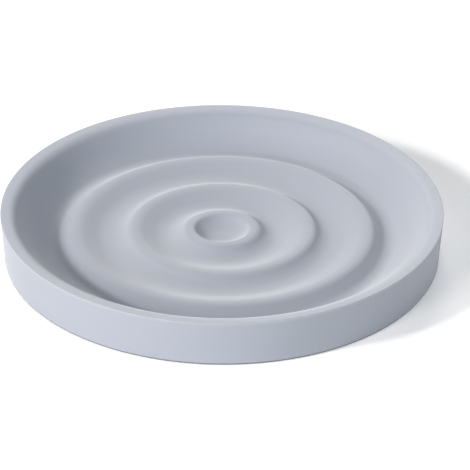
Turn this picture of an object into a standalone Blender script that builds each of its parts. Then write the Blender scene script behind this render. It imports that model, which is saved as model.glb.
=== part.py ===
"""A round silicone soap dish, moulded in one piece, whose ripples hold the soap up."""

import math

import bpy

# Outside of the dish. All lengths are in metres, and the origin is the middle of the underside.
RIM_RADIUS = 0.0600
FOOT_RADIUS = 0.0591
RIM_OUTER_ROUND = 0.0002
FOOT_ROUND = 0.0005

# Underside: a shallow recess inside the ring that the dish stands on.
FOOT_RING_WIDTH = 0.0060
RECESS_DEPTH = 0.0010
RECESS_EDGE_RUN = 0.0008

# Rim, and the hollow wall that climbs to it from the outer trough: gently at first, then steeply. The
# rim's top dips a little towards the hollow.
RIM_RISE = 0.00625
RIM_WIDTH = 0.0038
RIM_DIP = 0.0004
RIM_INNER_ROUND = 0.0016
UPPER_WALL_RUN = 0.0057
LOWER_WALL_RISE = 0.0026
WALL_BEND_ROUND = 0.0034

# Outer trough: the groove between the last ripple and the wall, and the silicone under it.
OUTER_TROUGH_DEPTH = 0.0031
OUTER_TROUGH_ROUND = 0.0021
OUTER_FALL_RUN = 0.0047
FLOOR_THICKNESS = 0.0029

# Ripples: rings of one height. From the centre outwards, each has a level crest, a steep fall, a
# level trough and a longer rise to the next crest. A crest's radius is that of its outer edge.
CREST_RADII = (0.0100, 0.0250, 0.0408)
CREST_WIDTH = 0.00245
CREST_INNER_ROUND = 0.0011
CREST_OUTER_ROUND = 0.00085
FALL_RUN = 0.0029
TROUGH_DEPTH = 0.0020
TROUGH_ROUND = 0.0020
RISE_RUN = 0.0058
RISE_ROUND = 0.0017

# Crater: the small closed bowl inside the first ripple.
CRATER_RADIUS = 0.0048
CRATER_DEPTH = 0.0024
CRATER_ROUND = 0.0029
CRATER_LIP_WIDTH = 0.0025
CRATER_LIP_ROUND = 0.0006

# How finely the round stretches are cut.
TURN_STEPS = 64
ROUND_STEPS = 3
EDGE_STEPS = 2

# Points of the turned mesh closer than this are joined.
MERGE_GAP = 0.000001

# Matt silicone, pale blue-grey.
SILICONE_COLOUR = (0.40, 0.424, 0.474, 1.0)
SILICONE_ROUGHNESS = 0.60
SILICONE_METALLIC = 0.0

# Worked out from the sizes above.
CREST_HEIGHT = RECESS_DEPTH + FLOOR_THICKNESS + max(OUTER_TROUGH_DEPTH, TROUGH_DEPTH, CRATER_DEPTH)
DISH_HEIGHT = CREST_HEIGHT + RIM_RISE
OUTER_TROUGH_RADIUS = CREST_RADII[-1] + OUTER_FALL_RUN
RIM_INSIDE_RADIUS = RIM_RADIUS - RIM_WIDTH
WALL_BEND_RADIUS = RIM_INSIDE_RADIUS - UPPER_WALL_RUN
RING_INSIDE_RADIUS = FOOT_RADIUS - FOOT_RING_WIDTH


def clear_scene():
    """Remove every object, so that the file holds only the dish."""
    for old_object in list(bpy.data.objects):
        bpy.data.objects.remove(old_object)


def make_silicone():
    """Return the material of the dish."""
    silicone = bpy.data.materials.new("silicone")
    silicone.use_nodes = True
    shader = silicone.node_tree.nodes["Principled BSDF"]
    shader.inputs["Base Color"].default_value = SILICONE_COLOUR
    shader.inputs["Roughness"].default_value = SILICONE_ROUGHNESS
    shader.inputs["Metallic"].default_value = SILICONE_METALLIC
    silicone.diffuse_color = SILICONE_COLOUR
    return silicone


def corner(radius, height, round_length=0.0, steps=ROUND_STEPS):
    """Return a corner of the half-outline: its place, how far its round reaches and its steps."""
    return {"point": (radius, height), "round": round_length, "steps": steps}


def crater_corners():
    """Return the corners of the bowl at the centre, from its middle to its lip."""
    floor_height = CREST_HEIGHT - CRATER_DEPTH
    middle = corner(0.0, floor_height)
    floor_edge = corner(CRATER_RADIUS, floor_height, CRATER_ROUND)
    lip = corner(CREST_RADII[0] - CRATER_LIP_WIDTH, CREST_HEIGHT, CRATER_LIP_ROUND)
    return [middle, floor_edge, lip]


def ripple_corners():
    """Return the corners of the crests and of the troughs between them."""
    corners = [corner(CREST_RADII[0], CREST_HEIGHT, CREST_OUTER_ROUND, EDGE_STEPS)]
    trough_height = CREST_HEIGHT - TROUGH_DEPTH
    for last_radius, crest_radius in zip(CREST_RADII, CREST_RADII[1:]):
        crest_inside = crest_radius - CREST_WIDTH
        corners.append(corner(last_radius + FALL_RUN, trough_height, TROUGH_ROUND))
        corners.append(corner(crest_inside - RISE_RUN, trough_height, RISE_ROUND))
        corners.append(corner(crest_inside, CREST_HEIGHT, CREST_INNER_ROUND))
        corners.append(corner(crest_radius, CREST_HEIGHT, CREST_OUTER_ROUND, EDGE_STEPS))
    return corners


def wall_corners():
    """Return the corners of the outer trough, the inner wall and the rim."""
    trough_height = CREST_HEIGHT - OUTER_TROUGH_DEPTH
    trough = corner(OUTER_TROUGH_RADIUS, trough_height, OUTER_TROUGH_ROUND, EDGE_STEPS)
    wall_bend = corner(WALL_BEND_RADIUS, trough_height + LOWER_WALL_RISE, WALL_BEND_ROUND)
    rim_inside = corner(RIM_INSIDE_RADIUS, DISH_HEIGHT - RIM_DIP, RIM_INNER_ROUND)
    rim_outside = corner(RIM_RADIUS, DISH_HEIGHT, RIM_OUTER_ROUND, EDGE_STEPS)
    return [trough, wall_bend, rim_inside, rim_outside]


def underside_corners():
    """Return the corners of the foot ring and of the recess inside it."""
    foot = corner(FOOT_RADIUS, 0.0, FOOT_ROUND, EDGE_STEPS)
    ring_inside = corner(RING_INSIDE_RADIUS, 0.0)
    recess_edge = corner(RING_INSIDE_RADIUS - RECESS_EDGE_RUN, RECESS_DEPTH)
    recess_middle = corner(0.0, RECESS_DEPTH)
    return [foot, ring_inside, recess_edge, recess_middle]


def reach(this, other):
    """Return the step from a corner to the end of its round on one side. Two rounds share a short run."""
    run = math.dist(this["point"], other["point"])
    length = this["round"] * min(1.0, run / (this["round"] + other["round"]))
    return [(there - here) * length / run for here, there in zip(this["point"], other["point"])]


def rounded(before, this, after):
    """Return the points of a corner's round, which leaves and meets its two runs in line with them."""
    start, end = reach(this, before), reach(this, after)
    points = []
    for step in range(this["steps"] + 1):
        angle = math.pi / 2 * step / this["steps"]
        start_share = 1 - math.sin(angle)
        end_share = 1 - math.cos(angle)
        parts = zip(this["point"], start, end)
        points.append([here + start_share * first + end_share * last for here, first, last in parts])
    return points


def round_off(corners):
    """Return the points of a half-outline with its rounds cut."""
    points = [corners[0]["point"]]
    for before, this, after in zip(corners, corners[1:], corners[2:]):
        points += rounded(before, this, after) if this["round"] else [this["point"]]
    points.append(corners[-1]["point"])
    return points


def turn_profile(name, profile, collection, material):
    """Turn a half-outline about the vertical axis, and return the solid's object."""
    mesh = bpy.data.meshes.new(name)
    edges = [(first, first + 1) for first in range(len(profile) - 1)]
    mesh.from_pydata([(radius, 0.0, height) for radius, height in profile], edges, [])
    mesh.materials.append(material)
    solid = bpy.data.objects.new(name, mesh)
    collection.objects.link(solid)

    screw = solid.modifiers.new("turn", "SCREW")
    screw.axis = "Z"
    screw.angle = math.tau
    screw.steps = TURN_STEPS
    screw.render_steps = TURN_STEPS
    screw.use_merge_vertices = True
    screw.merge_threshold = MERGE_GAP
    screw.use_smooth_shade = True
    return solid


def build_dish():
    """Build the dish: one moulding, and so one solid."""
    clear_scene()
    collection = bpy.data.collections.new("soap_dish")
    bpy.context.scene.collection.children.link(collection)
    corners = crater_corners() + ripple_corners() + wall_corners() + underside_corners()
    turn_profile("dish_body", round_off(corners), collection, make_silicone())


build_dish()
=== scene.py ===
"""A round silicone soap dish on a white table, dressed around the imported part."""

import logging
import math
from dataclasses import dataclass, field
from enum import Enum
from typing import Any

import bmesh
import bpy
from mathutils import Matrix, Vector


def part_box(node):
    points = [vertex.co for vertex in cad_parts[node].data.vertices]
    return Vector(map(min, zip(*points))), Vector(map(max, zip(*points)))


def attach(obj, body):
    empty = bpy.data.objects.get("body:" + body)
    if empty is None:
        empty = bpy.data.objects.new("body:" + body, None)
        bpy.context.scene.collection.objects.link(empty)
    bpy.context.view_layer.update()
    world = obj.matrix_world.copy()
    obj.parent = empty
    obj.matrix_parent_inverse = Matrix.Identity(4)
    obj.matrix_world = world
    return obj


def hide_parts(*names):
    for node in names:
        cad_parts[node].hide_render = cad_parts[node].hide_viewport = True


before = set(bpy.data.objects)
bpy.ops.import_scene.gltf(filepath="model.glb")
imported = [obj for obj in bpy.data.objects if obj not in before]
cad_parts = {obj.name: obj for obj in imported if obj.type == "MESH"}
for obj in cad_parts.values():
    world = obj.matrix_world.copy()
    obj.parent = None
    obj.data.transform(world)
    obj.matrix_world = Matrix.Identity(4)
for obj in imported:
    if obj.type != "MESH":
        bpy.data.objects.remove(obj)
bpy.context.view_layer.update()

LOG = logging.getLogger("soap_dish")

Colour = tuple[float, float, float]
Band = tuple[float, float]

MILLIMETRE = 0.001
WHITE: Colour = (1.0, 1.0, 1.0)
NOISE_MIDDLE = 0.5
ARC_PROFILE = 0.5


class RayKind(Enum):
    """The rays that see the bare studio behind the dish, by the name of their output."""

    CAMERA = "Is Camera Ray"
    GLOSSY = "Is Glossy Ray"
    TRANSMISSION = "Is Transmission Ray"


@dataclass(frozen=True)
class Noise:
    """An even noise: its lumps to the metre, its finer layers and how strong each of those is."""

    scale: float
    detail: float
    roughness: float


class NodeGraph:
    """The node tree of one material or world, filled node by node."""

    def __init__(self, tree: bpy.types.NodeTree) -> None:
        """Take a node tree and empty it.

        Args:
            tree: The tree of a material or a world that uses nodes.
        """
        self.tree = tree
        tree.nodes.clear()

    def node(
        self,
        kind: str,
        settings: dict[str, Any] | None = None,
        sockets: dict[str | int, Any] | None = None,
    ) -> bpy.types.Node:
        """Add a node, set how it works, then fill its sockets.

        Args:
            kind: The node's type, such as ShaderNodeBump.
            settings: The node's own settings, which are set before its sockets.
            sockets: A number, a colour, a vector, a socket or a Value for each input, by name or place.

        Returns:
            The new node.
        """
        made = self.tree.nodes.new(kind)
        for name, value in (settings or {}).items():
            setattr(made, name, value)
        for name, value in (sockets or {}).items():
            self.fill(made.inputs[name], value)
        return made

    def fill(self, socket: bpy.types.NodeSocket, value: Any) -> None:
        """Link a socket to another, or set it to a plain value.

        Args:
            socket: The input to fill.
            value: A Value, an output socket, a number, a vector or a colour of three numbers.
        """
        if isinstance(value, Value):
            value = value.socket
        if isinstance(value, bpy.types.NodeSocket):
            self.tree.links.new(value, socket)
        elif socket.type == "RGBA":
            socket.default_value = (*value, 1.0)
        else:
            socket.default_value = value

    def value(self, socket: bpy.types.NodeSocket) -> "Value":
        """Wrap an output socket, so that it takes part in sums."""
        return Value(self, socket)

    def noise(self, coordinates: Any, kind: Noise) -> "Value":
        """Add a three-dimensional noise.

        Args:
            coordinates: Where the noise is read, in metres.
            kind: The noise to add.

        Returns:
            The noise, from 0 to 1 with its middle at a half.
        """
        made = self.node(
            "ShaderNodeTexNoise",
            {"noise_dimensions": "3D"},
            {
                "Vector": coordinates,
                "Scale": kind.scale,
                "Detail": kind.detail,
                "Roughness": kind.roughness,
            },
        )
        return self.value(made.outputs["Fac"])

    def step(self, value: "Value", start: float, end: float) -> "Value":
        """Rise smoothly from 0 to 1 as a value goes from start to end.

        Args:
            value: The value that is followed.
            start: Where the result is still 0.
            end: Where the result is 1.

        Returns:
            The smooth step.
        """
        made = self.node(
            "ShaderNodeMapRange",
            {"interpolation_type": "SMOOTHSTEP", "clamp": True},
            {"Value": value, "From Min": start, "From Max": end},
        )
        return self.value(made.outputs["Result"])

    def shade(self, share: Any, colour: Any, tint: Colour) -> bpy.types.NodeSocket:
        """Multiply a colour by a tint.

        Args:
            share: How much of the tint shows, from 0 to 1.
            colour: The colour under the tint.
            tint: What the colour is multiplied by where the tint shows in full.

        Returns:
            The colour that results.
        """
        made = self.node("ShaderNodeMix", {"data_type": "RGBA", "blend_type": "MULTIPLY"})
        inputs = {socket.identifier: socket for socket in made.inputs}
        self.fill(inputs["Factor_Float"], share)
        self.fill(inputs["A_Color"], colour)
        self.fill(inputs["B_Color"], tint)
        return next(socket for socket in made.outputs if socket.identifier == "Result_Color")


class Value:
    """A number in a node tree, with the sums that the finishes need."""

    def __init__(self, graph: NodeGraph, socket: bpy.types.NodeSocket) -> None:
        """Wrap an output socket.

        Args:
            graph: The tree that the socket is in.
            socket: The output that gives the number.
        """
        self.graph = graph
        self.socket = socket

    def _sum(self, operation: str, first: Any, second: Any) -> "Value":
        """Add a Math node that joins two numbers.

        Args:
            operation: The node's operation.
            first: The left side, a Value or a number.
            second: The right side, a Value or a number.

        Returns:
            The result.
        """
        made = self.graph.node("ShaderNodeMath", {"operation": operation}, {0: first, 1: second})
        return Value(self.graph, made.outputs["Value"])

    def __add__(self, other: Any) -> "Value":
        """Return self + other."""
        return self._sum("ADD", self, other)

    __radd__ = __add__

    def __sub__(self, other: Any) -> "Value":
        """Return self - other."""
        return self._sum("SUBTRACT", self, other)

    def __rsub__(self, other: Any) -> "Value":
        """Return other - self."""
        return self._sum("SUBTRACT", other, self)

    def __mul__(self, other: Any) -> "Value":
        """Return self * other."""
        return self._sum("MULTIPLY", self, other)

    __rmul__ = __mul__


@dataclass(frozen=True)
class SiliconeFinish:
    """Matt moulded silicone: faintly clouded, finely grained, sleeker where the rim is worn, and paler
    there, partly from wear and partly as a painted highlight.
    """

    colour: Colour = (0.362, 0.388, 0.447)
    cloud_shade: Colour = (0.975, 0.982, 0.985)
    # Partly wear, partly a painted highlight: the rim's top is made paler for the light it catches.
    rim_wear_and_light_shade: Colour = (1.16, 1.15, 1.135)
    # Painted contact shadow: the bottom of the wall is darkened where it meets the table.
    painted_contact_shadow: Colour = (0.34, 0.35, 0.37)

    # Broad clouds, fine grain, and a slight waviness between the two.
    cloud: Noise = Noise(42.0, 3.0, 0.55)
    grain: Noise = Noise(2400.0, 2.0, 0.6)
    waviness: Noise = Noise(420.0, 2.0, 0.5)

    # The roughness, and what the grain, the clouds and touch change of it.
    roughness: float = 0.62
    grain_roughness: float = 0.10
    cloud_roughness: float = 0.08
    touched_polish: float = 0.05

    # How much of the rim's paler shade, partly wear and partly a painted highlight, is left where the
    # clouds are thinnest.
    rim_wear_and_light_least: float = 0.4

    specular: float = 0.24
    sheen: float = 0.6
    sheen_roughness: float = 0.5

    # The relief, and the grain's share of it. Waviness makes the rest.
    bump_strength: float = 0.5
    bump_height: float = 0.05 * MILLIMETRE
    grain_share: float = 0.7

    def material(self, name: str, rim_wear_and_light_band: Band, foot: Band) -> bpy.types.Material:
        """Build the finish.

        Args:
            name: The material's name.
            rim_wear_and_light_band: The heights over which the rim's paler shade comes in, in metres;
                it is partly wear and partly a painted highlight.
            foot: The heights over which the painted contact shadow at the foot fades out, in metres.

        Returns:
            The material.
        """
        made = bpy.data.materials.new(name)
        made.use_nodes = True
        made.diffuse_color = (*self.colour, 1.0)
        graph = NodeGraph(made.node_tree)

        place = graph.node("ShaderNodeTexCoord").outputs["Object"]
        height = graph.value(graph.node("ShaderNodeSeparateXYZ", None, {"Vector": place}).outputs["Z"])
        cloud = graph.noise(place, self.cloud)
        grain = graph.noise(place, self.grain)
        waviness = graph.noise(place, self.waviness)

        # The rim's paler band: partly wear, partly a painted highlight for the light the open rim top
        # catches.
        patchy = self.rim_wear_and_light_least + (1.0 - self.rim_wear_and_light_least) * cloud
        rim_wear_and_light_share = graph.step(height, *rim_wear_and_light_band) * patchy
        # Painted contact shadow: darker towards the bottom of the wall.
        contact_shadow_share = 1.0 - graph.step(height, *foot)

        clouded = graph.shade(cloud, self.colour, self.cloud_shade)
        paler = graph.shade(rim_wear_and_light_share, clouded, self.rim_wear_and_light_shade)
        coloured = graph.shade(contact_shadow_share, paler, self.painted_contact_shadow)

        grained = self.roughness + self.grain_roughness * (grain - NOISE_MIDDLE)
        worn = grained + self.cloud_roughness * (cloud - NOISE_MIDDLE)
        roughness = worn - self.touched_polish * rim_wear_and_light_share

        relief = self.grain_share * grain + (1.0 - self.grain_share) * waviness
        bump = graph.node(
            "ShaderNodeBump",
            None,
            {"Strength": self.bump_strength, "Distance": self.bump_height, "Height": relief},
        )

        shader = graph.node(
            "ShaderNodeBsdfPrincipled",
            None,
            {
                "Base Color": coloured,
                "Roughness": roughness,
                "Normal": bump.outputs["Normal"],
                "Specular IOR Level": self.specular,
                "Sheen Weight": self.sheen,
                "Sheen Roughness": self.sheen_roughness,
            },
        )
        graph.node("ShaderNodeOutputMaterial", None, {"Surface": shader.outputs["BSDF"]})
        return made


@dataclass(frozen=True)
class TableFinish:
    """A plain white table top, which keeps the dish's shadow."""

    colour: Colour = (0.97, 0.97, 0.97)
    roughness: float = 0.9
    glow: float = 0.25

    def material(self, name: str) -> bpy.types.Material:
        """Build the finish. The camera sees a little more white than the lamps leave on it.

        Args:
            name: The material's name.

        Returns:
            The material.
        """
        made = bpy.data.materials.new(name)
        made.use_nodes = True
        graph = NodeGraph(made.node_tree)
        seen = graph.value(graph.node("ShaderNodeLightPath").outputs[RayKind.CAMERA.value])
        plain = graph.node(
            "ShaderNodeBsdfPrincipled",
            None,
            {"Base Color": self.colour, "Roughness": self.roughness, "Specular IOR Level": 0.0},
        )
        light = graph.node("ShaderNodeEmission", None, {"Color": WHITE, "Strength": seen * self.glow})
        both = graph.node(
            "ShaderNodeAddShader",
            None,
            {0: plain.outputs["BSDF"], 1: light.outputs["Emission"]},
        )
        graph.node("ShaderNodeOutputMaterial", None, {"Surface": both.outputs["Shader"]})
        return made


@dataclass(frozen=True)
class Corner:
    """A corner of the half-outline, before it is rounded."""

    radius: float
    height: float
    round: float = 0.0
    steps: int = 6


@dataclass
class DishBody:
    """The dish: one moulding, turned about the vertical axis. Sizes are in metres."""

    # Underside.
    foot_radius: float = 0.0591
    foot_round: float = 0.0005
    foot_ring_width: float = 0.0060
    recess_depth: float = 0.0010
    recess_run: float = 0.0008

    # Rim, whose top dips a little towards the hollow, and the hollow wall below it.
    rim_rise: float = 0.00625
    rim_width: float = 0.0038
    rim_dip: float = 0.0004
    rim_outer_round: float = 0.0002
    rim_inner_round: float = 0.0016
    upper_wall_run: float = 0.0057
    lower_wall_rise: float = 0.0026
    wall_bend_round: float = 0.0034

    # The trough between the last ripple and the wall.
    outer_trough_depth: float = 0.0031
    outer_trough_round: float = 0.0021
    outer_fall_run: float = 0.0047

    # Ripples: a level crest, a steep fall, a level trough and a longer rise to the next crest.
    crest_radii: tuple[float, ...] = (0.0100, 0.0250, 0.0408)
    crest_width: float = 0.00245
    crest_inner_round: float = 0.0011
    crest_outer_round: float = 0.00085
    fall_run: float = 0.0029
    trough_depth: float = 0.0020
    trough_round: float = 0.0020
    rise_run: float = 0.0058
    rise_round: float = 0.0017

    # The small closed bowl inside the first ripple.
    crater_radius: float = 0.0048
    crater_depth: float = 0.0024
    crater_round: float = 0.0029
    crater_lip_width: float = 0.0025
    crater_lip_round: float = 0.0006

    turn_steps: int = 360
    merge_gap: float = 0.001 * MILLIMETRE

    # How far below the rim's top the paler rim shade (partly wear, partly a painted highlight)
    # starts and is full, and the heights over which the painted contact shadow at the foot fades out.
    rim_wear_and_light_depths: Band = (1.0 * MILLIMETRE, 0.4 * MILLIMETRE)
    contact_shadow_heights: Band = (0.5 * MILLIMETRE, 0.7 * MILLIMETRE)

    rim_radius: float = field(init=False)
    height: float = field(init=False)
    crest_height: float = field(init=False)

    def __post_init__(self) -> None:
        """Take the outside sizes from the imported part."""
        low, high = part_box("dish_body")
        self.rim_radius = (high.x - low.x) / 2
        self.height = high.z
        self.crest_height = self.height - self.rim_rise

    def crater(self) -> list[Corner]:
        """Return the corners of the small bowl in the middle, up to its lip."""
        floor = self.crest_height - self.crater_depth
        lip = self.crest_radii[0] - self.crater_lip_width
        return [
            Corner(0.0, floor),
            Corner(self.crater_radius, floor, self.crater_round),
            Corner(lip, self.crest_height, self.crater_lip_round),
        ]

    def ripples(self) -> list[Corner]:
        """Return the corners of the crests and of the troughs between them."""
        floor = self.crest_height - self.trough_depth
        made = [Corner(self.crest_radii[0], self.crest_height, self.crest_outer_round)]
        for last, crest in zip(self.crest_radii, self.crest_radii[1:]):
            inside = crest - self.crest_width
            made.append(Corner(last + self.fall_run, floor, self.trough_round))
            made.append(Corner(inside - self.rise_run, floor, self.rise_round))
            made.append(Corner(inside, self.crest_height, self.crest_inner_round))
            made.append(Corner(crest, self.crest_height, self.crest_outer_round))
        return made

    def wall(self) -> list[Corner]:
        """Return the corners of the outer trough, the hollow wall and the rim."""
        floor = self.crest_height - self.outer_trough_depth
        trough = self.crest_radii[-1] + self.outer_fall_run
        rim_inside = self.rim_radius - self.rim_width
        bend = rim_inside - self.upper_wall_run
        return [
            Corner(trough, floor, self.outer_trough_round),
            Corner(bend, floor + self.lower_wall_rise, self.wall_bend_round),
            Corner(rim_inside, self.height - self.rim_dip, self.rim_inner_round),
            Corner(self.rim_radius, self.height, self.rim_outer_round),
        ]

    def underside(self) -> list[Corner]:
        """Return the corners of the foot ring and of the recess inside it."""
        ring = self.foot_radius - self.foot_ring_width
        return [
            Corner(self.foot_radius, 0.0, self.foot_round),
            Corner(ring, 0.0),
            Corner(ring - self.recess_run, self.recess_depth),
            Corner(0.0, self.recess_depth),
        ]

    def outline(self, bm: bmesh.types.BMesh) -> None:
        """Draw the half-outline in the XZ plane and round its corners.

        Args:
            bm: The empty mesh to draw in.
        """
        corners = self.crater() + self.ripples() + self.wall() + self.underside()
        points = [bm.verts.new((corner.radius, 0.0, corner.height)) for corner in corners]
        for first, second in zip(points, points[1:]):
            bm.edges.new((first, second))
        for corner, point in zip(corners, points):
            if corner.round:
                bmesh.ops.bevel(
                    bm,
                    geom=[point],
                    offset=corner.round,
                    offset_type="OFFSET",
                    segments=corner.steps,
                    profile=ARC_PROFILE,
                    affect="VERTICES",
                    material=-1,
                )

    def mesh(self) -> bpy.types.Mesh:
        """Turn the outline into the closed moulding.

        Returns:
            The mesh, smooth and with its faces outwards.
        """
        bm = bmesh.new()
        self.outline(bm)
        bmesh.ops.spin(
            bm,
            geom=bm.verts[:] + bm.edges[:],
            cent=(0.0, 0.0, 0.0),
            axis=(0.0, 0.0, 1.0),
            angle=math.tau,
            steps=self.turn_steps,
            use_merge=True,
        )
        bmesh.ops.remove_doubles(bm, verts=bm.verts, dist=self.merge_gap)
        bmesh.ops.recalc_face_normals(bm, faces=bm.faces)
        for face in bm.faces:
            face.smooth = True
        made = bpy.data.meshes.new("dish")
        bm.to_mesh(made)
        bm.free()
        return made

    def build(self, finish: SiliconeFinish) -> bpy.types.Object:
        """Make the dish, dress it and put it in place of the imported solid.

        Args:
            finish: The silicone that the dish is moulded in.

        Returns:
            The dish.
        """
        dish = bpy.data.objects.new("dish", self.mesh())
        bpy.context.scene.collection.objects.link(dish)
        # The rim's paler band is partly wear and partly a painted highlight.
        start, full = (self.height - depth for depth in self.rim_wear_and_light_depths)
        # The painted contact shadow darkens the bottom of the wall.
        dish.data.materials.append(finish.material("silicone", (start, full), self.contact_shadow_heights))
        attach(dish, "root")
        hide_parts("dish_body")
        return dish


@dataclass(frozen=True)
class Lamp:
    """A distant soft lamp. Azimuth 0 is along +X and 90 along +Y, in degrees."""

    name: str
    azimuth: float
    elevation: float
    width: float
    level: float
    colour: Colour

    def build(self) -> bpy.types.Object:
        """Hang the lamp.

        Returns:
            The lamp. At level 1, straight above, it shows a colour as it is written.
        """
        made = bpy.data.lights.new(self.name, "SUN")
        made.energy = math.pi * self.level
        made.angle = math.radians(self.width)
        made.color = self.colour
        lamp = bpy.data.objects.new(self.name, made)
        bpy.context.scene.collection.objects.link(lamp)
        azimuth, elevation = math.radians(self.azimuth), math.radians(self.elevation)
        towards = Vector(
            (
                math.cos(elevation) * math.cos(azimuth),
                math.cos(elevation) * math.sin(azimuth),
                math.sin(elevation),
            )
        )
        lamp.matrix_world = towards.to_track_quat("Z", "Y").to_matrix().to_4x4()
        return lamp


@dataclass
class Camera:
    """A long lens that looks down on the dish from the front."""

    lens: float = 243.74
    sensor: float = 36.0
    distance: float = 0.87558
    near_share: float = 0.1
    far_share: float = 100.0
    elevation: float = math.radians(29.952)
    roll: float = math.radians(0.487)
    target: Vector = field(default_factory=lambda: Vector((0.003564, 0.008076, 0.0)))

    def build(self) -> bpy.types.Object:
        """Put the camera up and make it the scene's own.

        Returns:
            The camera.
        """
        data = bpy.data.cameras.new("camera")
        data.lens = self.lens
        data.sensor_width = self.sensor
        data.clip_start = self.distance * self.near_share
        data.clip_end = self.distance * self.far_share
        camera = bpy.data.objects.new("camera", data)
        bpy.context.scene.collection.objects.link(camera)
        tilt = Matrix.Rotation(math.pi / 2 - self.elevation, 4, "X")
        turn = Matrix.Rotation(self.roll, 4, "Z")
        back = Vector((0.0, -math.cos(self.elevation), math.sin(self.elevation)))
        camera.matrix_world = Matrix.Translation(self.target + back * self.distance) @ tilt @ turn
        bpy.context.scene.camera = camera
        return camera


@dataclass
class Studio:
    """The white table, the soft lamps round it and the white room behind."""

    table_half_side: float = 1.5
    table: TableFinish = TableFinish()
    camera: Camera = field(default_factory=Camera)
    lamps: tuple[Lamp, ...] = (
        Lamp("key", 204.0, 30.0, 8.0, 0.660, (1.02, 0.995, 0.985)),
        Lamp("left_front", 227.0, 23.0, 24.0, 0.500, (1.015, 1.0, 0.98)),
        Lamp("front_low", 266.0, 5.0, 30.0, 0.330, (0.98, 1.0, 1.0)),
        Lamp("right_front", 336.0, 26.0, 24.0, 0.125, (0.945, 1.0, 1.06)),
        Lamp("right_high", 0.0, 44.0, 30.0, 0.140, (0.92, 0.99, 1.08)),
        Lamp("back", 90.0, 38.0, 24.0, 0.300, (1.0, 1.0, 1.01)),
        Lamp("back_left_low", 115.0, 8.0, 30.0, 0.275, (1.01, 1.0, 0.97)),
    )

    def build_table(self) -> bpy.types.Object:
        """Lay the table top under the dish.

        Returns:
            The table top, which isn't part of the dish.
        """
        bm = bmesh.new()
        bmesh.ops.create_grid(bm, x_segments=1, y_segments=1, size=self.table_half_side)
        data = bpy.data.meshes.new("table")
        bm.to_mesh(data)
        bm.free()
        table = bpy.data.objects.new("table", data)
        bpy.context.scene.collection.objects.link(table)
        data.materials.append(self.table.material("table_white"))
        return table

    def build_room(self) -> bpy.types.World:
        """Make the room, which is white to look at and gives no light of its own.

        Returns:
            The world.
        """
        world = bpy.data.worlds.new("studio")
        world.use_nodes = True
        graph = NodeGraph(world.node_tree)
        path = graph.node("ShaderNodeLightPath")
        seen: Any = 0.0
        for kind in RayKind:
            seen = seen + graph.value(path.outputs[kind.value])
        background = graph.node("ShaderNodeBackground", None, {"Color": WHITE, "Strength": seen})
        graph.node("ShaderNodeOutputWorld", None, {"Surface": background.outputs["Background"]})
        bpy.context.scene.world = world
        return world

    def build(self) -> None:
        """Set up the table, the room, the lamps and the camera."""
        self.build_table()
        self.build_room()
        for lamp in self.lamps:
            lamp.build()
        self.camera.build()
        bpy.context.scene.view_settings.view_transform = "Standard"


def report(piece: bpy.types.Object) -> None:
    """Log what a finished piece measures.

    Args:
        piece: The piece, as it stands in the scene.
    """
    sides = " x ".join(f"{side / MILLIMETRE:.2f}" for side in piece.dimensions)
    LOG.info("%s: %d faces, %s mm", piece.name, len(piece.data.polygons), sides)


def main() -> None:
    """Build the dish and the studio round it."""
    logging.basicConfig(level=logging.INFO, format="%(name)s: %(message)s")
    dish = DishBody().build(SiliconeFinish())
    report(dish)
    Studio().build()


if __name__ == "__main__":
    main()
